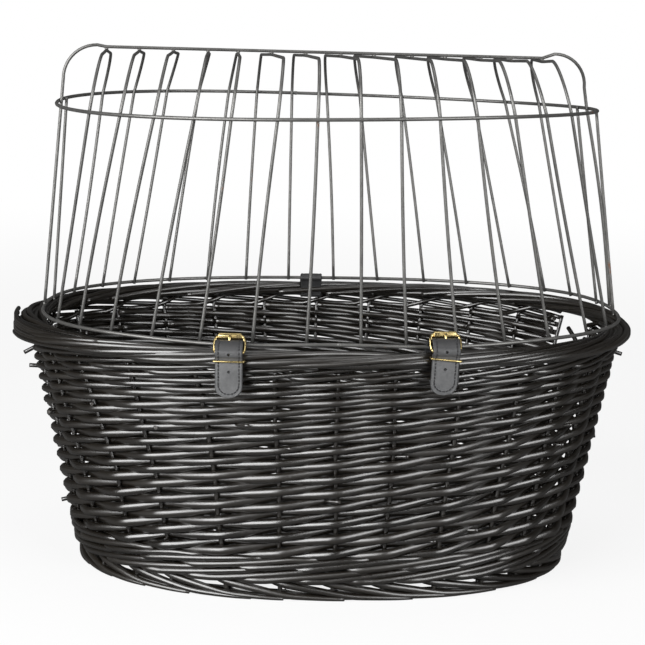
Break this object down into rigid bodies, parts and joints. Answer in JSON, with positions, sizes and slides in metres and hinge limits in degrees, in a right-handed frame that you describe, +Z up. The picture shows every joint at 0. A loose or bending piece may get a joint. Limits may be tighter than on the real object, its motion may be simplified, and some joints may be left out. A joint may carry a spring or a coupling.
{
  "type": "dog bicycle basket",
  "caption": "Oval woven willow pet basket with a hand hole, topped by a rear-hinged wire cage lid held by leather straps and roller buckles.",
  "frame": {"origin": "middle of the bounding box in plan, on the plane that the foot stands on", "axes": "+X along the basket's length, the hand hole's end; -Y is the front with the buckles; +Z up"},
  "size_m": [0.5, 0.376, 0.4111],
  "materials": {
    "willow": "woven willow rods stained black-brown, semi-gloss",
    "wire": "dark lacquered steel wire, semi-gloss, with a few rust spots",
    "leather": "dark grey leather with edge stitching",
    "brass": "polished brass-plated wire and roller"
  },
  "bodies": {
    "basket": {"foot_border": "willow", "floor_weave": "willow", "lower_wale": "willow", "side_weave": "willow", "upper_wale": "willow", "rim_border": "willow", "rear_loop": "leather", "strap_left": "leather", "strap_right": "leather", "strap_tail_left": "leather", "strap_tail_right": "leather"},
    "cage": {"lower_hoop": "wire", "mid_hoop": "wire", "arch_01": "wire", "arch_02": "wire", "arch_03": "wire", "arch_04": "wire", "arch_05": "wire", "arch_06": "wire", "arch_07": "wire", "arch_08": "wire", "arch_09": "wire", "arch_10": "wire", "arch_11": "wire", "arch_12": "wire", "arch_13": "wire", "arch_14": "wire", "end_bar_right": "wire", "end_bar_rear_right": "wire", "end_bar_rear_left": "wire", "spine": "wire"},
    "buckle_left": {"buckle_frame_left": "brass"},
    "roller_left": {"buckle_roller_left": "brass"},
    "prong_left": {"buckle_prong_left": "brass"},
    "keeper_left": {"strap_keeper_left": "brass"},
    "buckle_right": {"buckle_frame_right": "brass"},
    "roller_right": {"buckle_roller_right": "brass"},
    "prong_right": {"buckle_prong_right": "brass"},
    "keeper_right": {"strap_keeper_right": "brass"}
  },
  "joints": [
    {"name": "cage_hinge", "type": "hinge", "parent": "basket", "child": "cage", "pos_m": [-0.0056, 0.16125, 0.2006], "axis": [-1, 0, 0], "range_deg": [0, 100], "deforming": ["strap_tail_left", "strap_tail_right"]},
    {"name": "buckle_left_swing", "type": "hinge", "parent": "basket", "child": "buckle_left", "pos_m": [-0.07667, -0.18226, 0.1971], "axis": [0.9962, -0.0872, 0], "range_deg": [0, 80]},
    {"name": "roller_left_spin", "type": "hinge", "parent": "buckle_left", "child": "roller_left", "pos_m": [-0.07607, -0.17539, 0.20812], "axis": [0.9962, -0.0872, 0], "continuous": true},
    {"name": "prong_left_swing", "type": "hinge", "parent": "buckle_left", "child": "prong_left", "pos_m": [-0.07667, -0.18226, 0.1971], "axis": [0.9962, -0.0872, 0], "range_deg": [0, 60]},
    {"name": "keeper_left_slide", "type": "slide", "parent": "basket", "child": "keeper_left", "axis": [0, 0, 1], "range_m": [-0.009, 0]},
    {"name": "buckle_right_swing", "type": "hinge", "parent": "basket", "child": "buckle_right", "pos_m": [0.08067, -0.1815, 0.1998], "axis": [0.9962, 0.0872, 0], "range_deg": [0, 80]},
    {"name": "roller_right_spin", "type": "hinge", "parent": "buckle_right", "child": "roller_right", "pos_m": [0.08007, -0.17464, 0.21082], "axis": [0.9962, 0.0872, 0], "continuous": true},
    {"name": "prong_right_swing", "type": "hinge", "parent": "buckle_right", "child": "prong_right", "pos_m": [0.08067, -0.1815, 0.1998], "axis": [0.9962, 0.0872, 0], "range_deg": [0, 60]},
    {"name": "keeper_right_slide", "type": "slide", "parent": "basket", "child": "keeper_right", "axis": [0, 0, 1], "range_m": [-0.009, 0]}
  ]
}
